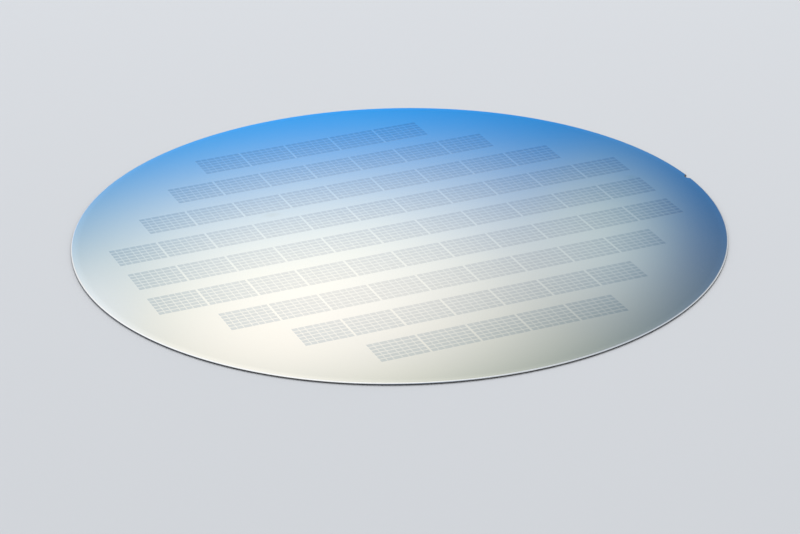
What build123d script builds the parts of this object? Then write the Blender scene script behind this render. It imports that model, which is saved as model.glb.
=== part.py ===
from build123d import *
import math
import os

# A 200 mm silicon wafer, lying with its patterned face up.
# It is one disc of crystal, ground to a bevelled edge with an alignment notch in the rim.
# Its face carries a thin film of small dies, in blocks that stand in straight files.
# The origin is the centre of the back face, +Z points out of the patterned face,
# and the notch is on the -Y side. The files of blocks run along Y, towards the notch.
# All sizes are in millimetres.

# Disc
wafer_diameter = 200.0
wafer_thickness = 0.725

# Ground edge, the same round the rim and through the notch
bevel_width = 0.40  # how far the bevel reaches in from the rim
bevel_angle = 22.0  # degrees, between the bevel and the face
nose_radius = 0.22  # rounds each bevel into the outermost edge

# Alignment notch, a rounded V
notch_depth = 1.0  # from the rim circle to the rounded root
notch_angle = 90.0  # degrees, between the two sides
notch_root_radius = 1.0
notch_corner_radius = 0.9

# Dies, the small rectangles of film
film_thickness = 0.010
die_width = 1.55  # across a file
short_die = 1.75  # along a file
long_die = 2.34  # along a file
long_street = 0.45  # bare line between two lines of dies, all along a block
cross_street = 0.24  # bare line between two dies of one line
dies_along_block = (short_die, short_die, long_die, short_die, short_die, long_die, short_die)
dies_across_block = 6

# Blocks of dies, and the files that they stand in
block_gap = 0.72  # between the blocks of one file
file_gap = 6.53  # bare band between two files
edge_exclusion = 10.0  # rim that no block may enter


def notched_outline():
    """The wafer seen from above: a circle with a rounded V cut into it on the -Y side."""
    radius = wafer_diameter / 2
    half_angle = math.radians(notch_angle / 2)
    # The sharp V reaches deeper than the rounded root that replaces its point.
    point_y = notch_depth + notch_root_radius * (1 / math.sin(half_angle) - 1) - radius
    mouth_y = -radius - notch_depth
    mouth_x = (point_y - mouth_y) * math.tan(half_angle)
    v_points = [(0, point_y), (mouth_x, mouth_y), (-mouth_x, mouth_y)]
    outline = Circle(radius) - make_face(Polyline(*v_points, close=True))
    # The two corners go first, while the root is still the point nearest the centre.
    corners = outline.vertices().filter_by(lambda vertex: near_notch_corner(vertex, point_y))
    outline = fillet(corners, notch_corner_radius)
    root = outline.vertices().sort_by_distance((0, point_y, 0)).first
    return fillet(root, notch_root_radius)


def near_notch_corner(vertex, point_y):
    """Whether a corner of the outline is one of the two where the V meets the rim."""
    return vertex.Y < point_y - notch_depth / 4


def ground_disc():
    """The bare wafer, with the same bevel and rounded nose on both faces."""
    disc = extrude(notched_outline(), wafer_thickness)
    for end in (Axis.Z, -Axis.Z):
        face = disc.faces().sort_by(end).last
        disc = chamfer(face.edges(), bevel_width, angle=bevel_angle, reference=face)
    bevel_height = bevel_width * math.tan(math.radians(bevel_angle))
    for level in (bevel_height, wafer_thickness - bevel_height):
        shoulder = [edge for edge in disc.edges() if abs(edge.center().Z - level) < 1e-4]
        shoulder = [edge for edge in shoulder if edge.bounding_box().size.Z < 1e-4]
        disc = fillet(shoulder, nose_radius)
    return disc


def blocks_in_file(centre, file_width, block_length, block_pitch):
    """How many blocks, always an odd number, stay inside the edge exclusion."""
    limit = wafer_diameter / 2 - edge_exclusion
    outer = abs(centre) + file_width / 2
    if outer >= limit:
        return 0
    reach = math.sqrt(limit ** 2 - outer ** 2) - block_length / 2
    if reach < 0:
        return 0
    return 2 * int(reach / block_pitch) + 1


def die_rows():
    """The film: one strip for each line of dies along a block, all on the top face."""
    block_length = sum(dies_along_block) + cross_street * (len(dies_along_block) - 1)
    block_pitch = block_length + block_gap
    line_pitch = die_width + long_street
    file_width = line_pitch * dies_across_block - long_street
    file_pitch = file_width + file_gap
    files_each_side = int(wafer_diameter / 2 / file_pitch)
    strips = []
    for file_number in range(-files_each_side, files_each_side + 1):
        file_x = file_number * file_pitch
        count = blocks_in_file(file_x, file_width, block_length, block_pitch)
        for block_number in range(count):
            block_y = (block_number - (count - 1) / 2) * block_pitch
            for line in range(dies_across_block):
                line_x = file_x + (line - (dies_across_block - 1) / 2) * line_pitch
                strip = Box(die_width, block_length, film_thickness)
                strips.append(Pos(line_x, block_y, wafer_thickness + film_thickness / 2) * strip)
    return Compound(children=strips)


silicon_disc = ground_disc()
die_film = die_rows()

os.makedirs("parts", exist_ok=True)
export_step(silicon_disc, "parts/silicon_disc.step")
export_step(die_film, "parts/die_film.step")
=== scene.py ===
"""A 200 mm silicon wafer, dressed and lit on a plain studio floor.

Sizes of the wafer and of the patterns on it are in millimetres, and become metres in the
meshes. Bump heights are in metres, and colours are linear. The wafer lies face up with its
alignment notch on the -Y side, and the files of die blocks run along Y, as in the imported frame.
"""

import logging
import math
from dataclasses import dataclass, field
from enum import Enum
from typing import Any, Iterator, Mapping

import bmesh
import bpy
from mathutils import Matrix, Vector


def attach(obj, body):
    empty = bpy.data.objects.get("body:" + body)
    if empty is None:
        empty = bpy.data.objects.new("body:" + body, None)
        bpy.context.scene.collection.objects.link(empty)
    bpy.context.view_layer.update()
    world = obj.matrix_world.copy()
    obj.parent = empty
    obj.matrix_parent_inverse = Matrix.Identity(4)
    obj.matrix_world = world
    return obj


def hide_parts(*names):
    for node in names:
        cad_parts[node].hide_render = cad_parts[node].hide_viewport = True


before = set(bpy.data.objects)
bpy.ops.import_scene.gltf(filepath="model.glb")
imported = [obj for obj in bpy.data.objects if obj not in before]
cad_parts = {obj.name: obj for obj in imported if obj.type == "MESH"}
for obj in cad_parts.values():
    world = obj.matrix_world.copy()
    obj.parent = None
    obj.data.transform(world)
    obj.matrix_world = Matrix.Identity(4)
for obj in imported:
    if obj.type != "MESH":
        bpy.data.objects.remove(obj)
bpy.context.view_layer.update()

MM = 0.001
WAFER_RADIUS = 100.0
WAFER_THICKNESS = 0.725
ROOT_BODY = "root"

Colour = tuple[float, float, float, float]

log = logging.getLogger("wafer")


class Surface(Enum):
    """The finishes of the disc, in the order of its material slots."""

    FILM = 0
    BEVEL = 1
    # The ground finish covers the wall, and as painted shade the edge faces that lean down and
    # the notch's bevel
    GROUND = 2
    BACK = 3


class Tone:
    """One output socket of a shader tree, so that shader maths reads as Python."""

    def __init__(self, bench: "Bench", socket: bpy.types.NodeSocket) -> None:
        """Wrap a socket that belongs to a bench's tree."""
        self.bench = bench
        self.socket = socket

    def _with(self, operation: str, *others: "Tone | float") -> "Tone":
        """Add a Math node on this tone and the others, in that order."""
        return self.bench.maths(operation, self, *others)

    def __add__(self, other: "Tone | float") -> "Tone":
        """Return the sum."""
        return self._with("ADD", other)

    __radd__ = __add__

    def __mul__(self, other: "Tone | float") -> "Tone":
        """Return the product."""
        return self._with("MULTIPLY", other)

    __rmul__ = __mul__

    def __sub__(self, other: "Tone | float") -> "Tone":
        """Return this tone less the other."""
        return self._with("SUBTRACT", other)

    def __rsub__(self, other: float) -> "Tone":
        """Return the number less this tone."""
        return self.bench.maths("SUBTRACT", other, self)

    def __truediv__(self, other: "Tone | float") -> "Tone":
        """Return this tone over the other."""
        return self._with("DIVIDE", other)

    def __rtruediv__(self, other: float) -> "Tone":
        """Return the number over this tone."""
        return self.bench.maths("DIVIDE", other, self)

    def __abs__(self) -> "Tone":
        """Return the size of this tone without its sign."""
        return self._with("ABSOLUTE")


class Bench:
    """Makes the nodes of one shader tree."""

    # Where a Mix node keeps its sockets for colours, which share their names with other kinds
    MIX_FACTOR, MIX_FIRST, MIX_SECOND, MIX_RESULT = 0, 6, 7, 2

    def __init__(self, tree: bpy.types.NodeTree) -> None:
        """Start on an emptied tree."""
        self.tree = tree
        self.tree.nodes.clear()

    def node(
        self, kind: str, settings: Mapping[str, Any], sockets: Mapping[str | int, Any]
    ) -> bpy.types.Node:
        """Make a node, set it up and fill its inputs.

        Args:
            kind: The node's type name.
            settings: Properties of the node, such as its operation, which are set first.
            sockets: A value or a Tone for each named or numbered input.

        Returns:
            The new node.
        """
        made = self.tree.nodes.new(kind)
        for name, value in settings.items():
            setattr(made, name, value)
        for key, value in sockets.items():
            if isinstance(value, Tone):
                self.tree.links.new(value.socket, made.inputs[key])
            else:
                made.inputs[key].default_value = value
        return made

    def tone(
        self,
        kind: str,
        settings: Mapping[str, Any],
        sockets: Mapping[str | int, Any],
        output: str | int = 0,
    ) -> Tone:
        """Make a node as node() does, and return the tone of one of its outputs."""
        return Tone(self, self.node(kind, settings, sockets).outputs[output])

    def maths(self, operation: str, *values: Tone | float) -> Tone:
        """Return a Math node's result on the values."""
        return self.tone("ShaderNodeMath", {"operation": operation}, dict(enumerate(values)))

    def step(self, value: Tone, start: float, end: float) -> Tone:
        """Make a smooth step on a value.

        Args:
            value: The value that the step follows.
            start: Where the step is 0.
            end: Where the step is 1, which may be below the start.

        Returns:
            The step, from 0 to 1.
        """
        low, high = min(start, end), max(start, end)
        rising = self.tone(
            "ShaderNodeMapRange",
            {"interpolation_type": "SMOOTHSTEP"},
            {"Value": value, "From Min": low, "From Max": high},
        )
        return rising if start < end else 1 - rising

    def mix(self, factor: Tone, first: Tone | Colour, second: Tone | Colour) -> Tone:
        """Return the colour between first, at factor 0, and second, at factor 1."""
        return self._colour_mix("MIX", factor, first, second)

    def tinted(self, factor: Tone, colour: Tone, painted_shade: Colour) -> Tone:
        """Return the colour as it is at factor 0, and multiplied by the painted shade at factor
        1.
        """
        return self._colour_mix("MULTIPLY", factor, colour, painted_shade)

    def _colour_mix(
        self, blend: str, factor: Tone, first: Tone | Colour, second: Tone | Colour
    ) -> Tone:
        """Make a Mix node on two colours.

        Args:
            blend: How the second colour is laid on the first.
            factor: How much of that shows, from 0 to 1.
            first: The first colour.
            second: The second colour.

        Returns:
            The mixed colour.
        """
        settings = {"data_type": "RGBA", "blend_type": blend}
        sockets = {self.MIX_FACTOR: factor, self.MIX_FIRST: first, self.MIX_SECOND: second}
        return self.tone("ShaderNodeMix", settings, sockets, self.MIX_RESULT)

    def scaled(self, vector: Tone, amount: Tone | float) -> Tone:
        """Return a colour or a vector times a number."""
        settings = {"operation": "SCALE"}
        return self.tone("ShaderNodeVectorMath", settings, {0: vector, "Scale": amount})

    def length(self, vector: Tone) -> Tone:
        """Return the length of a vector."""
        return self.tone("ShaderNodeVectorMath", {"operation": "LENGTH"}, {0: vector}, "Value")

    def along(self, vector: Tone, direction: Vector) -> Tone:
        """Return how far a vector runs along a direction."""
        settings = {"operation": "DOT_PRODUCT"}
        return self.tone("ShaderNodeVectorMath", settings, {0: vector, 1: direction}, "Value")

    def place_mm(self) -> Tone:
        """Return the surface's own place on the object, in millimetres."""
        return self.scaled(self.tone("ShaderNodeTexCoord", {}, {}, "Object"), 1 / MM)

    def noise(self, place: Tone, size: float, detail: float = 2.0) -> Tone:
        """Return noise about 0.5 whose lumps are about size millimetres wide."""
        sockets = {"Vector": place, "Scale": 1 / size, "Detail": detail}
        return self.tone("ShaderNodeTexNoise", {}, sockets, "Fac")

    def bump(self, height: Tone, distance: float) -> Tone:
        """Return a normal that the height tilts, where distance is its depth in metres."""
        sockets = {"Strength": 1.0, "Distance": distance, "Height": height}
        return self.tone("ShaderNodeBump", {}, sockets, "Normal")

    def surface(self, sockets: Mapping[str, Any]) -> None:
        """End the tree in one Principled shader."""
        shader = self.tone("ShaderNodeBsdfPrincipled", {}, sockets)
        self.node("ShaderNodeOutputMaterial", {}, {"Surface": shader})


def new_material(name: str) -> tuple[bpy.types.Material, Bench]:
    """Make an empty node material.

    Args:
        name: The material's name.

    Returns:
        The material, and the bench that fills it.
    """
    material = bpy.data.materials.new(name)
    material.use_nodes = True
    return material, Bench(material.node_tree)


@dataclass(frozen=True)
class Smudge:
    """A faint mark left on the film, as an ellipse in the wafer's plane.

    Its depth is far more than the wafer's thickness, so that height doesn't count.
    """

    x: float
    y: float
    along_x: float
    along_y: float
    tint: Colour
    strength: float
    depth: float = 1000.0

    def laid_on(self, bench: Bench, place: Tone, colour: Tone) -> Tone:
        """Return the colour with this mark on it.

        Args:
            bench: The bench of the material.
            place: The place on the wafer, in millimetres.
            colour: The colour below the mark.

        Returns:
            The marked colour.
        """
        shifted = bench.tone(
            "ShaderNodeMapping",
            {"vector_type": "TEXTURE"},
            {
                "Vector": place,
                "Location": (self.x, self.y, 0.0),
                "Scale": (self.along_x, self.along_y, self.depth),
            },
        )
        mask = bench.step(bench.length(shifted), 1.0, 0.0) * self.strength
        return bench.mix(mask, colour, self.tint)


@dataclass(frozen=True)
class FilmFinish:
    """The near-mirror film over the whole face, a shade brighter where it thins at the edge."""

    tint: Colour = (0.900, 0.905, 0.895, 1.0)
    cloud_tint: Colour = (0.880, 0.890, 0.895, 1.0)
    cloud_size: float = 46.0
    cloud_from: float = 0.35
    cloud_full: float = 0.65
    edge_tint: Colour = (0.985, 0.990, 0.985, 1.0)
    edge_from: float = 97.0
    edge_full: float = 99.5
    grain_size: float = 0.35
    grain_detail: float = 1.0
    grain_depth: float = 0.12
    roughness: float = 0.06
    roughness_swing: float = 0.02
    bump_height: float = 0.000_000_4
    smudges: tuple[Smudge, ...] = (
        Smudge(28.0, 31.0, 2.6, 4.2, (0.62, 0.55, 0.42, 1.0), 0.16),
        Smudge(57.0, 44.0, 1.2, 1.4, (0.25, 0.26, 0.32, 1.0), 0.30),
        Smudge(7.0, -83.0, 2.4, 3.0, (0.50, 0.62, 0.48, 1.0), 0.14),
    )

    def material(self) -> bpy.types.Material:
        """Make the film's material, with clouding, grain and faint marks.

        Returns:
            The material.
        """
        material, bench = new_material("mirror_film")
        place = bench.place_mm()
        clouds = bench.noise(place, self.cloud_size)
        cloudy = bench.step(clouds, self.cloud_from, self.cloud_full)
        colour = bench.mix(cloudy, self.tint, self.cloud_tint)
        outward = bench.step(bench.length(place), self.edge_from, self.edge_full)
        colour = bench.mix(outward, colour, self.edge_tint)
        for smudge in self.smudges:
            colour = smudge.laid_on(bench, place, colour)
        grain = bench.noise(place, self.grain_size, self.grain_detail)
        colour = bench.scaled(colour, 1 + (grain - 0.5) * self.grain_depth)
        bench.surface(
            {
                "Base Color": colour,
                "Metallic": 1.0,
                "Roughness": self.roughness + (grain - 0.5) * self.roughness_swing,
                "Normal": bench.bump(grain, self.bump_height),
            }
        )
        return material


@dataclass(frozen=True)
class DieFinish:
    """The printed dies, a shade darker than the film, with painted shade that darkens and cools
    them towards the wafer's rim.
    """

    tint: Colour = (0.760, 0.775, 0.790, 1.0)
    field_tint: Colour = (0.725, 0.740, 0.765, 1.0)
    # Painted shade towards the rim: a darker, bluer multiplier, and the radii in millimetres
    # where it starts and where it is full
    painted_rim_shade: Colour = (0.890, 0.943, 0.970, 1.0)
    rim_shade_from: float = 38.0
    rim_shade_full: float = 90.0
    ring_width: float = 0.10
    spine_width: float = 0.06
    softness: float = 0.02
    batch_size: float = 3.0
    batch_swing: float = 0.05
    roughness: float = 0.06

    def material(self) -> bpy.types.Material:
        """Make the dies' material, which follows each die's own 0 to 1 map.

        Returns:
            The material.
        """
        material, bench = new_material("printed_dies")
        die_map = bench.tone("ShaderNodeUVMap", {}, {})
        on_die = bench.node("ShaderNodeSeparateXYZ", {}, {0: die_map})
        across, along = (abs(Tone(bench, on_die.outputs[axis]) - 0.5) for axis in ("X", "Y"))
        ring, spine, soft = 0.5 - self.ring_width, self.spine_width, self.softness
        within_ring = bench.step(bench.maths("MAXIMUM", across, along), ring + soft, ring - soft)
        off_spine = bench.step(across, spine - soft, spine + soft)
        colour = bench.mix(within_ring * off_spine, self.tint, self.field_tint)
        place = bench.place_mm()
        # Painted cool shade: towards the wafer's rim the dies are multiplied by a darker, bluer
        # colour
        outward = bench.step(bench.length(place), self.rim_shade_from, self.rim_shade_full)
        colour = bench.tinted(outward, colour, self.painted_rim_shade)
        batch = bench.noise(place, self.batch_size, detail=0.0)
        colour = bench.scaled(colour, 1 + (batch - 0.5) * self.batch_swing)
        bench.surface({"Base Color": colour, "Metallic": 1.0, "Roughness": self.roughness})
        return material


@dataclass(frozen=True)
class LaneFinish:
    """The bright bare lanes between the blocks of one file."""

    tint: Colour = (0.910, 0.915, 0.905, 1.0)
    roughness: float = 0.06
    grain_size: float = 0.5
    roughness_swing: float = 0.04

    def material(self) -> bpy.types.Material:
        """Make the lanes' material.

        Returns:
            The material.
        """
        material, bench = new_material("bare_lanes")
        grain = bench.noise(bench.place_mm(), self.grain_size)
        roughness = self.roughness + (grain - 0.5) * self.roughness_swing
        bench.surface({"Base Color": self.tint, "Metallic": 1.0, "Roughness": roughness})
        return material


@dataclass(frozen=True)
class GroundFinish:
    """Crystal as a grinding wheel or an etch leaves it, with fine lumps of tone."""

    name: str
    tint: Colour
    worn_tint: Colour
    metallic: float
    roughness: float
    grain_size: float
    bump_height: float
    grain_detail: float = 3.0
    worn_from: float = 0.35
    worn_full: float = 0.65
    roughness_swing: float = 0.1

    def material(self) -> bpy.types.Material:
        """Make the finish's material.

        Returns:
            The material.
        """
        material, bench = new_material(self.name)
        grain = bench.noise(bench.place_mm(), self.grain_size, self.grain_detail)
        worn = bench.step(grain, self.worn_from, self.worn_full)
        bench.surface(
            {
                "Base Color": bench.mix(worn, self.tint, self.worn_tint),
                "Metallic": self.metallic,
                "Roughness": self.roughness + (grain - 0.5) * self.roughness_swing,
                "Normal": bench.bump(grain, self.bump_height),
            }
        )
        return material


POLISHED_BEVEL = GroundFinish(
    name="polished_bevel",
    tint=(0.99, 0.99, 0.99, 1.0),
    worn_tint=(0.94, 0.945, 0.95, 1.0),
    metallic=1.0,
    roughness=0.18,
    grain_size=0.6,
    bump_height=0.000_000_5,
)
# Near-black ground finish for the wall, laid also as painted shade on the lower shoulder and
# bevel and on the notch's bevel
GROUND_EDGE_AND_SHADE = GroundFinish(
    name="ground_edge_and_painted_shade",
    tint=(0.030, 0.031, 0.034, 1.0),
    worn_tint=(0.055, 0.056, 0.060, 1.0),
    metallic=0.0,
    roughness=0.50,
    grain_size=0.3,
    bump_height=0.000_002,
)
ETCHED_BACK = GroundFinish(
    name="etched_back",
    tint=(0.36, 0.37, 0.39, 1.0),
    worn_tint=(0.42, 0.43, 0.45, 1.0),
    metallic=1.0,
    roughness=0.42,
    grain_size=0.8,
    bump_height=0.000_003,
)


def mesh_from(name: str, shape: bmesh.types.BMesh) -> bpy.types.Mesh:
    """Turn a shape into a mesh.

    Args:
        name: The mesh's name.
        shape: The shape, which is used up.

    Returns:
        The new mesh.
    """
    mesh = bpy.data.meshes.new(name)
    shape.to_mesh(mesh)
    shape.free()
    return mesh


def in_scene(name: str, data: bpy.types.ID) -> bpy.types.Object:
    """Put a new object into the scene.

    Args:
        name: The object's name.
        data: The mesh, camera or lamp that it shows.

    Returns:
        The new object.
    """
    shown = bpy.data.objects.new(name, data)
    bpy.context.scene.collection.objects.link(shown)
    return shown


def finished_piece(name: str, shape: bmesh.types.BMesh) -> bpy.types.Object:
    """Turn a shape in millimetres into a piece that rides on the wafer's body.

    Args:
        name: The piece's name.
        shape: The shape, which is used up.

    Returns:
        The new object, at the origin, with its place in its mesh.
    """
    bmesh.ops.scale(shape, vec=(MM, MM, MM), verts=shape.verts)
    piece = in_scene(name, mesh_from(name, shape))
    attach(piece, ROOT_BODY)
    return piece


@dataclass
class CrystalDisc:
    """The bare disc with its ground edge and its notch, the same sizes as in the solids."""

    radius: float = WAFER_RADIUS
    thickness: float = WAFER_THICKNESS
    bevel_width: float = 0.40
    bevel_angle: float = 22.0
    nose_radius: float = 0.22
    notch_depth: float = 1.0
    notch_angle: float = 90.0
    notch_root_radius: float = 1.0
    notch_corner_radius: float = 0.9
    rim_steps: int = 360
    corner_steps: int = 8
    nose_steps: int = 3
    seam_width: float = 0.001
    flat_lean: float = 0.999
    bevel_lean: float = 0.5
    piece: bpy.types.Object | None = field(default=None, init=False)

    @property
    def bevel_height(self) -> float:
        """How much of the thickness one bevel takes."""
        return self.bevel_width * math.tan(math.radians(self.bevel_angle))

    def _half_outline(self, shape: bmesh.types.BMesh) -> None:
        """Draw the outline's +X half, from the notch's root round to the far rim.

        Args:
            shape: The empty shape to draw in.
        """
        half = math.radians(self.notch_angle / 2)
        root_y = self.notch_depth - self.radius - self.notch_root_radius
        root_centre = Vector((0.0, root_y, 0.0))
        side = Vector((math.sin(half), -math.cos(half), 0.0))
        inward = Vector((math.cos(half), math.sin(half), 0.0))
        side_start = root_centre + inward * self.notch_root_radius
        # The corner's centre lies inside both the side and the rim by the corner's radius.
        base = side_start + inward * self.notch_corner_radius
        along = base.dot(side)
        ring = self.radius - self.notch_corner_radius
        side_length = -along + math.sqrt(along ** 2 + ring ** 2 - base.length_squared)
        corner_centre = base + side * side_length
        corner_turn = (-inward).angle(corner_centre)
        rim_start = math.atan2(corner_centre.y, corner_centre.x)

        tip = shape.verts.new(root_centre + Vector((0.0, self.notch_root_radius, 0.0)))
        tip = self._swept(shape, tip, root_centre, half - math.pi / 2, self.corner_steps)
        tip = self._drawn(shape, tip, side * side_length)
        tip = self._swept(shape, tip, corner_centre, corner_turn, self.corner_steps)
        self._swept(shape, tip, Vector(), math.pi / 2 - rim_start, self.rim_steps)

    @staticmethod
    def _swept(
        shape: bmesh.types.BMesh, tip: bmesh.types.BMVert, centre: Vector, turn: float, steps: int
    ) -> bmesh.types.BMVert:
        """Sweep an arc from a point.

        Args:
            shape: The shape that the point is in.
            tip: The point to start from.
            centre: The arc's centre.
            turn: The arc's angle in radians, anticlockwise from above.
            steps: How many edges the arc has.

        Returns:
            The point at the arc's end.
        """
        swept = bmesh.ops.spin(
            shape, geom=[tip], cent=centre, axis=(0, 0, 1), angle=turn, steps=steps
        )
        return next(v for v in swept["geom_last"] if isinstance(v, bmesh.types.BMVert))

    @staticmethod
    def _drawn(
        shape: bmesh.types.BMesh, tip: bmesh.types.BMVert, stroke: Vector
    ) -> bmesh.types.BMVert:
        """Draw a straight line from a point.

        Args:
            shape: The shape that the point is in.
            tip: The point to start from.
            stroke: The way from there to the line's end.

        Returns:
            The point at the line's end.
        """
        end = bmesh.ops.extrude_vert_indiv(shape, verts=[tip])["verts"][0]
        bmesh.ops.translate(shape, vec=stroke, verts=[end])
        return end

    def _solid(self) -> bmesh.types.BMesh:
        """Model the closed disc: a wall, a bevel ring on each face and rounded shoulders.

        Returns:
            The disc, in millimetres.
        """
        shape = bmesh.new()
        self._half_outline(shape)
        half = shape.verts[:] + shape.edges[:]
        bmesh.ops.mirror(shape, geom=half, axis="X", merge_dist=self.seam_width)
        bmesh.ops.translate(shape, vec=(0, 0, self.bevel_height), verts=shape.verts)
        low = bmesh.ops.edgeloop_fill(shape, edges=shape.edges)["faces"][0]
        raised = bmesh.ops.extrude_face_region(shape, geom=[low])["geom"]
        high = next(face for face in raised if isinstance(face, bmesh.types.BMFace))
        wall = self.thickness - 2 * self.bevel_height
        bmesh.ops.translate(shape, vec=(0, 0, wall), verts=high.verts)
        bmesh.ops.recalc_face_normals(shape, faces=shape.faces)
        shoulders = list(low.edges) + list(high.edges)
        for face in (low, high):
            bmesh.ops.inset_region(
                shape,
                faces=[face],
                thickness=self.bevel_width,
                depth=self.bevel_height,
                use_even_offset=True,
                use_boundary=True,
            )
        shoulder_turn = math.radians(90 - self.bevel_angle)
        bmesh.ops.bevel(
            shape,
            geom=shoulders,
            offset=self.nose_radius * math.tan(shoulder_turn / 2),
            offset_type="OFFSET",
            affect="EDGES",
            segments=self.nose_steps,
            profile=0.5,
            material=-1,
        )
        return shape

    def _in_notch(self, place: Vector) -> bool:
        """Return whether a place is in the notch."""
        half_mouth = self.notch_depth + self.notch_corner_radius
        return place.y < 0 and abs(place.x) < half_mouth

    def _surface_of(self, face: bmesh.types.BMFace) -> Surface:
        """Sort a face by how far it leans upwards, and by whether it is in the notch.

        Args:
            face: A face of the disc.

        Returns:
            The finish that the face takes.
        """
        lean = face.normal.z
        if abs(lean) > self.flat_lean:
            return Surface.FILM if lean > 0 else Surface.BACK
        # Painted shade: only faces that lean well upwards, outside the notch, take the bright
        # bevel finish; the lower shoulder and bevel and the notch's bevel take the dark ground
        # finish with the wall
        if lean > self.bevel_lean and not self._in_notch(face.calc_center_median()):
            return Surface.BEVEL
        return Surface.GROUND

    def build(self) -> None:
        """Model the disc and sort its faces among the finishes."""
        shape = self._solid()
        for face in shape.faces:
            surface = self._surface_of(face)
            face.material_index = surface.value
            face.smooth = surface in (Surface.BEVEL, Surface.GROUND)
        self.piece = finished_piece("crystal_disc", shape)
        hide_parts("silicon_disc")
        log.info("%s: %d faces", self.piece.name, len(self.piece.data.polygons))

    def dress(self) -> None:
        """Give each kind of face its finish."""
        finishes = {
            Surface.FILM: FilmFinish(),
            Surface.BEVEL: POLISHED_BEVEL,
            Surface.GROUND: GROUND_EDGE_AND_SHADE,
            Surface.BACK: ETCHED_BACK,
        }
        for surface in Surface:
            self.piece.data.materials.append(finishes[surface].material())


@dataclass
class DieField:
    """The printed dies, in blocks that stand in straight files."""

    top: float = WAFER_THICKNESS
    film_thickness: float = 0.010
    long_street: float = 0.45
    cross_street: float = 0.24
    die_width: float = 1.55
    short_die: float = 1.75
    long_die: float = 2.34
    dies_across_block: int = 6
    block_gap: float = 0.72
    file_gap: float = 6.53
    edge_exclusion: float = 10.0
    lane_width: float = 0.40
    wafer_radius: float = WAFER_RADIUS
    dies: bpy.types.Object | None = field(default=None, init=False)
    lanes: bpy.types.Object | None = field(default=None, init=False)

    @property
    def dies_along_block(self) -> tuple[float, ...]:
        """The lengths of the dies along one block, towards the notch."""
        short, long = self.short_die, self.long_die
        return (short, short, long, short, short, long, short)

    @property
    def block_length(self) -> float:
        """The length of one block along its file."""
        streets = self.cross_street * (len(self.dies_along_block) - 1)
        return sum(self.dies_along_block) + streets

    @property
    def block_pitch(self) -> float:
        """The distance between two blocks of one file."""
        return self.block_length + self.block_gap

    @property
    def line_pitch(self) -> float:
        """The distance between two lines of dies."""
        return self.die_width + self.long_street

    @property
    def file_width(self) -> float:
        """The width of one file."""
        return self.line_pitch * self.dies_across_block - self.long_street

    def _blocks_in_file(self, centre: float) -> int:
        """Count the blocks of a file that stay inside the edge exclusion.

        Args:
            centre: The file's place across the wafer.

        Returns:
            The number of blocks, always odd, or 0 where none fits.
        """
        limit = self.wafer_radius - self.edge_exclusion
        outer = abs(centre) + self.file_width / 2
        if outer >= limit:
            return 0
        reach = math.sqrt(limit ** 2 - outer ** 2) - self.block_length / 2
        return 2 * int(reach / self.block_pitch) + 1 if reach >= 0 else 0

    def _files(self) -> Iterator[tuple[float, int]]:
        """Go through the files that have blocks.

        Yields:
            Each file's place across the wafer and its number of blocks.
        """
        pitch = self.file_width + self.file_gap
        each_side = int(self.wafer_radius / pitch)
        for number in range(-each_side, each_side + 1):
            blocks = self._blocks_in_file(number * pitch)
            if blocks:
                yield number * pitch, blocks

    def _centres(self, fewer: int) -> Iterator[Vector]:
        """Go through what stands in the files at the pitch of the blocks.

        Args:
            fewer: How many fewer there are in a file than blocks.

        Yields:
            Each one's centre, in the wafer's plane.
        """
        for centre, blocks in self._files():
            count = blocks - fewer
            for number in range(count):
                along = (number - (count - 1) / 2) * self.block_pitch
                yield Vector((centre, along, 0.0))

    def _plate(self, width: float, length: float, place: Vector) -> Matrix:
        """Work out how a unit cube becomes a plate of film.

        Args:
            width: The plate's size across the files.
            length: The plate's size along the files.
            place: The plate's centre, in the wafer's plane.

        Returns:
            The matrix that sizes and places the cube.
        """
        centre = place + Vector((0.0, 0.0, self.top + self.film_thickness / 2))
        size = Matrix.Diagonal((width, length, self.film_thickness, 1.0))
        return Matrix.Translation(centre) @ size

    def _block(self) -> bpy.types.Mesh:
        """Model one block of dies about the origin, each die with its own 0 to 1 map.

        Returns:
            The block, in millimetres.
        """
        shape = bmesh.new()
        shape.loops.layers.uv.new("die_map")
        front = self.block_length / 2
        for length in self.dies_along_block:
            for line in range(self.dies_across_block):
                x = (line - (self.dies_across_block - 1) / 2) * self.line_pitch
                place = Vector((x, front - length / 2, 0.0))
                matrix = self._plate(self.die_width, length, place)
                bmesh.ops.create_cube(shape, size=1.0, matrix=matrix, calc_uvs=True)
            front -= length + self.cross_street
        return mesh_from("die_block", shape)

    def _all_dies(self) -> bmesh.types.BMesh:
        """Repeat the block of dies at each of its places.

        Returns:
            All the dies, in millimetres.
        """
        block = self._block()
        shape = bmesh.new()
        done = 0
        for place in self._centres(fewer=0):
            shape.from_mesh(block)
            shape.verts.ensure_lookup_table()
            bmesh.ops.translate(shape, vec=place, verts=shape.verts[done:])
            done = len(shape.verts)
        bpy.data.meshes.remove(block)
        return shape

    def _all_lanes(self) -> bmesh.types.BMesh:
        """Model one bright plate between each two blocks of a file.

        Returns:
            All the lanes, in millimetres.
        """
        shape = bmesh.new()
        for place in self._centres(fewer=1):
            matrix = self._plate(self.file_width, self.lane_width, place)
            bmesh.ops.create_cube(shape, size=1.0, matrix=matrix)
        return shape

    def build(self) -> None:
        """Model the blocks and the lanes between them."""
        self.dies = finished_piece("die_blocks", self._all_dies())
        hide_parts("die_film")
        self.lanes = finished_piece("bare_lanes", self._all_lanes())
        for piece in (self.dies, self.lanes):
            log.info("%s: %d faces", piece.name, len(piece.data.polygons))

    def dress(self) -> None:
        """Give the dies and the lanes their finishes."""
        self.dies.data.materials.append(DieFinish().material())
        self.lanes.data.materials.append(LaneFinish().material())


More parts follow.
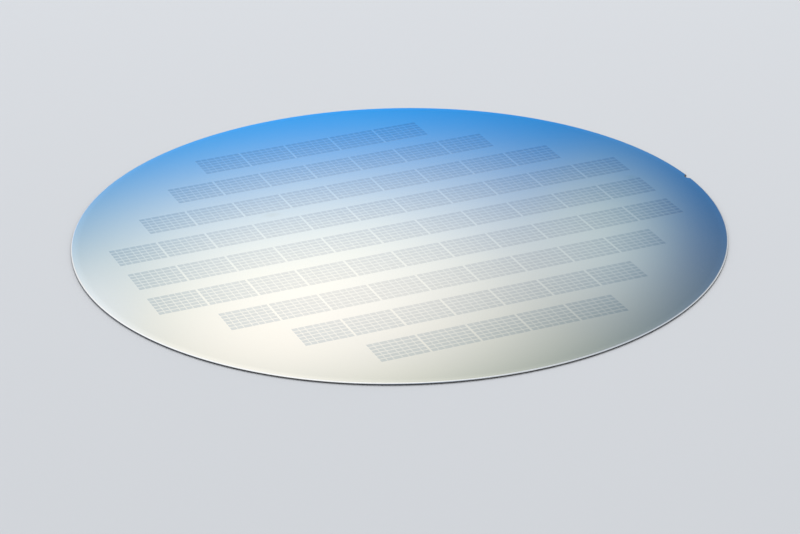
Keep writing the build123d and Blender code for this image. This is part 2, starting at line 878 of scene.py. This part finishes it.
@dataclass
class Floor:
    """The plain pale floor that the wafer lies on, whose size is in metres."""

    half_size: float = 12.0
    tint: Colour = (0.56, 0.575, 0.60, 1.0)
    roughness: float = 0.8
    piece: bpy.types.Object | None = field(default=None, init=False)

    def build(self) -> None:
        """Lay the floor."""
        shape = bmesh.new()
        bmesh.ops.create_grid(shape, x_segments=1, y_segments=1, size=self.half_size)
        self.piece = in_scene("floor", mesh_from("floor", shape))

    def dress(self) -> None:
        """Paint the floor."""
        material, bench = new_material("floor_paint")
        bench.surface({"Base Color": self.tint, "Roughness": self.roughness})
        self.piece.data.materials.append(material)


@dataclass(frozen=True)
class PhotoView:
    """The camera's stand, worked out from the rim and the die blocks in the photograph.

    Turns are in degrees, lengths in millimetres, and the two clip distances in metres.
    """

    azimuth: float = 247.306
    elevation: float = 24.668
    distance: float = 887.36
    pan: float = 0.0024
    tilt: float = 0.6871
    roll: float = 0.9473
    target_height: float = 0.475
    focal_pixels: float = 2901.35
    picture_width: int = 800
    sensor_width: float = 36.0
    near_clip: float = 0.01
    far_clip: float = 100.0

    @property
    def ahead(self) -> Vector:
        """The level direction from the camera towards the wafer."""
        turn = math.radians(self.azimuth)
        return Vector((-math.sin(turn), math.cos(turn), 0.0))

    @property
    def to_right(self) -> Vector:
        """The level direction to the camera's right."""
        return Vector((self.ahead.y, -self.ahead.x, 0.0))

    def build(self) -> None:
        """Stand the camera."""
        rise = math.radians(self.elevation)
        back = Vector((0.0, 0.0, math.sin(rise))) - self.ahead * math.cos(rise)
        up = back.cross(self.to_right)
        looking = Matrix((self.to_right, up, back)).transposed()
        aim = (
            Matrix.Rotation(-math.radians(self.pan), 3, "Y")
            @ Matrix.Rotation(-math.radians(self.tilt), 3, "X")
            @ Matrix.Rotation(-math.radians(self.roll), 3, "Z")
        )
        data = bpy.data.cameras.new("photo_camera")
        data.sensor_width = self.sensor_width
        data.lens = self.focal_pixels * self.sensor_width / self.picture_width
        data.clip_start, data.clip_end = self.near_clip, self.far_clip
        camera = in_scene("photo_camera", data)
        target = Vector((0.0, 0.0, self.target_height))
        place = Matrix.Translation((target + back * self.distance) * MM)
        camera.matrix_world = place @ (looking @ aim).to_4x4()
        bpy.context.scene.camera = camera


@dataclass(frozen=True)
class Glow:
    """A soft oval of light that the film mirrors, a little aslant.

    Places and reaches are tangents: sideways, and of the height above the horizon.
    """

    sideways: float
    upward: float
    reach_left: float
    reach_right: float
    reach_down: float
    reach_up: float
    slant: float
    low: Colour
    high: Colour
    high_from: float
    high_full: float

    def laid_on(self, bench: Bench, sideways: Tone, upward: Tone, colour: Tone) -> Tone:
        """Return the colour that a ray meets once this glow is laid on another colour.

        Args:
            bench: The bench of the world's shader.
            sideways: The ray's sideways tangent.
            upward: The ray's upward tangent.
            colour: The colour behind the glow.

        Returns:
            The glow's own colour in its middle, and the colour behind it outside.
        """
        across = sideways - self.sideways
        level = upward - across * self.slant
        over = self._reached(bench, across, self.reach_left, self.reach_right)
        up = self._reached(bench, level - self.upward, self.reach_down, self.reach_up)
        mask = bench.step(bench.maths("SQRT", over * over + up * up), 1.0, 0.0)
        rise = bench.step(level, self.high_from, self.high_full)
        return bench.mix(mask, colour, bench.mix(rise, self.low, self.high))

    @staticmethod
    def _reached(bench: Bench, offset: Tone, below: float, above: float) -> Tone:
        """Return an offset as a share of the reach on its side of zero."""
        return bench.maths("MAXIMUM", offset / above, offset / -below)


LAMP_GLOW = Glow(
    sideways=-0.0388,
    upward=0.4966,
    reach_left=0.1821,
    reach_right=0.1989,
    reach_down=0.0895,
    reach_up=0.0874,
    slant=-0.0753,
    low=(1.80, 1.765, 1.535, 1.0),
    high=(1.145, 1.088, 1.006, 1.0),
    high_from=0.416,
    high_full=0.508,
)
LEFT_SHEEN = Glow(
    sideways=-0.125,
    upward=0.498,
    reach_left=0.038,
    reach_right=0.038,
    reach_down=0.038,
    reach_up=0.038,
    slant=0.0,
    low=(0.89, 0.93, 0.985, 1.0),
    high=(0.89, 0.93, 0.985, 1.0),
    high_from=0.42,
    high_full=0.50,
)
RIGHT_SHEEN = Glow(
    sideways=0.077,
    upward=0.460,
    reach_left=0.041,
    reach_right=0.041,
    reach_down=0.043,
    reach_up=0.043,
    slant=0.0,
    low=(0.256, 0.408, 0.486, 1.0),
    high=(0.256, 0.408, 0.486, 1.0),
    high_from=0.42,
    high_full=0.50,
)


@dataclass(frozen=True)
class Studio:
    """The light that comes from all round, and what a mirror finish sees there.

    Plain soft light falls on everything, and the camera sees a plain pale background. Only
    the mirror finishes see the room, with soft cool and pale bands and a pale ceiling, and in
    a window behind the wafer a blue backdrop with glows on it. The bands and the ceiling lie
    along directions that are given as shares ahead of the camera, to its right and upwards.
    The window's places are tangents, as a glow's are.
    """

    view: PhotoView
    soft_light: Colour = (0.92, 0.93, 0.94, 1.0)
    background: Colour = (0.62, 0.63, 0.65, 1.0)

    cool_wall: Colour = (0.17, 0.25, 0.37, 1.0)
    pale_wall: Colour = (0.80, 0.81, 0.80, 1.0)
    band_way: tuple[float, float, float] = (0.140, -0.929, 0.341)
    band_turn: float = 6.41
    band_start: float = 4.22
    ceiling: Colour = (1.04, 1.04, 1.03, 1.0)
    ceiling_way: tuple[float, float, float] = (0.35, -0.40, 0.85)
    ceiling_from: float = 0.50
    ceiling_full: float = 1.0

    window_centre: float = -0.025
    window_full: float = 0.175
    window_end: float = 0.425
    window_foot: float = 0.28
    foot_fade: float = 0.25
    window_head: float = 0.545
    head_fade: float = 0.07
    least_ahead: float = 0.01

    backdrop: Colour = (0.0, 0.417, 1.21, 1.0)
    high_backdrop: Colour = (0.0, 0.118, 0.0, 1.0)
    high_from: float = 0.360
    high_full: float = 0.536
    side_backdrop: Colour = (0.0, 0.0, 0.134, 1.0)
    side_from: float = -0.063
    side_full: float = 0.275
    glows: tuple[Glow, ...] = (RIGHT_SHEEN, LAMP_GLOW, LEFT_SHEEN)

    def build(self) -> None:
        """Set up the world."""
        world = bpy.data.worlds.new("studio")
        bpy.context.scene.world = world
        world.use_nodes = True
        bench = Bench(world.node_tree)
        ray = bench.tone("ShaderNodeTexCoord", {}, {}, "Generated")
        room = self._room(bench, ray)
        mirrored = bench.mix(self._window(bench, ray), room, self._backdrop(bench, ray))
        path = bench.node("ShaderNodeLightPath", {}, {})
        glossy = Tone(bench, path.outputs["Is Glossy Ray"])
        seen = Tone(bench, path.outputs["Is Camera Ray"])
        colour = bench.mix(glossy, self.soft_light, mirrored)
        colour = bench.mix(seen, colour, self.background)
        light = bench.tone("ShaderNodeBackground", {}, {"Color": colour, "Strength": 1.0})
        bench.node("ShaderNodeOutputWorld", {}, {"Surface": light})

    def _direction(self, way: tuple[float, float, float]) -> Vector:
        """Work out a direction that is given as it is seen from the camera.

        Args:
            way: The direction's shares ahead, to the right and upwards.

        Returns:
            The direction, with a length of 1.
        """
        ahead, to_right, upward = way
        level = self.view.ahead * ahead + self.view.to_right * to_right
        return (level + Vector((0.0, 0.0, upward))).normalized()

    def _room(self, bench: Bench, ray: Tone) -> Tone:
        """Paint the room, with soft cool and pale bands and a pale ceiling.

        Args:
            bench: The bench of the world's shader.
            ray: The direction of the mirrored ray.

        Returns:
            The colour that the ray meets there.
        """
        across_bands = bench.along(ray, self._direction(self.band_way))
        wave = bench.maths("SINE", across_bands * self.band_turn + self.band_start)
        wall = bench.mix(wave * 0.5 + 0.5, self.cool_wall, self.pale_wall)
        overhead = bench.along(ray, self._direction(self.ceiling_way))
        share = bench.step(overhead, self.ceiling_from, self.ceiling_full)
        return bench.mix(share, wall, self.ceiling)

    def _tangents(self, bench: Bench, ray: Tone) -> tuple[Tone, Tone]:
        """Find a ray's place in the window behind the wafer.

        Args:
            bench: The bench of the world's shader.
            ray: The direction of the mirrored ray.

        Returns:
            The ray's sideways and upward tangents.
        """
        ahead = bench.maths("MAXIMUM", bench.along(ray, self.view.ahead), self.least_ahead)
        sideways = bench.along(ray, self.view.to_right) / ahead
        upward = bench.along(ray, Vector((0.0, 0.0, 1.0))) / ahead
        return sideways, upward

    def _window(self, bench: Bench, ray: Tone) -> Tone:
        """Mask the window that the backdrop fills.

        Args:
            bench: The bench of the world's shader.
            ray: The direction of the mirrored ray.

        Returns:
            The mask, 1 inside the window and 0 outside it.
        """
        sideways, upward = self._tangents(bench, ray)
        across = bench.step(abs(sideways - self.window_centre), self.window_end, self.window_full)
        down = bench.step(upward, self.window_foot - self.foot_fade, self.window_foot)
        up = bench.step(upward, self.window_head + self.head_fade, self.window_head)
        return across * down * up

    def _backdrop(self, bench: Bench, ray: Tone) -> Tone:
        """Paint the blue backdrop, which dies away upwards and to the right, and its glows.

        Args:
            bench: The bench of the world's shader.
            ray: The direction of the mirrored ray.

        Returns:
            The colour that the ray meets there.
        """
        sideways, upward = self._tangents(bench, ray)
        rise = bench.step(upward, self.high_from, self.high_full)
        colour = bench.mix(rise, self.backdrop, self.high_backdrop)
        to_side = bench.step(sideways, self.side_from, self.side_full)
        colour = bench.mix(to_side, colour, self.side_backdrop)
        for glow in self.glows:
            colour = glow.laid_on(bench, sideways, upward, colour)
        return colour


@dataclass(frozen=True)
class KeyLight:
    """One broad soft lamp, behind and above the wafer, that gives it a fine near shadow.

    Its distance and size are in metres, and its power is in watts.
    """

    view: PhotoView
    distance: float = 1.6
    elevation: float = 52.0
    size: float = 0.5
    power: float = 9.0

    def build(self) -> None:
        """Hang the lamp."""
        data = bpy.data.lights.new("key_light", "AREA")
        data.shape, data.size, data.energy = "DISK", self.size, self.power
        lamp = in_scene("key_light", data)
        rise = math.radians(self.elevation)
        towards = self.view.ahead * math.cos(rise) + Vector((0.0, 0.0, math.sin(rise)))
        lamp.location = towards * self.distance
        lamp.rotation_mode = "QUATERNION"
        lamp.rotation_quaternion = towards.to_track_quat("Z", "Y")
        lamp.visible_glossy = False


def main() -> None:
    """Set up the camera and the light, then build and dress the floor and the wafer."""
    logging.basicConfig(level=logging.INFO, format="%(name)s: %(message)s")
    bpy.context.scene.view_settings.view_transform = "Standard"
    view = PhotoView()
    for maker in (view, Studio(view), KeyLight(view)):
        maker.build()
        log.info("built %s", type(maker).__name__)
    for piece in (Floor(), CrystalDisc(), DieField()):
        piece.build()
        piece.dress()
        log.info("dressed %s", type(piece).__name__)


if __name__ == "__main__":
    main()
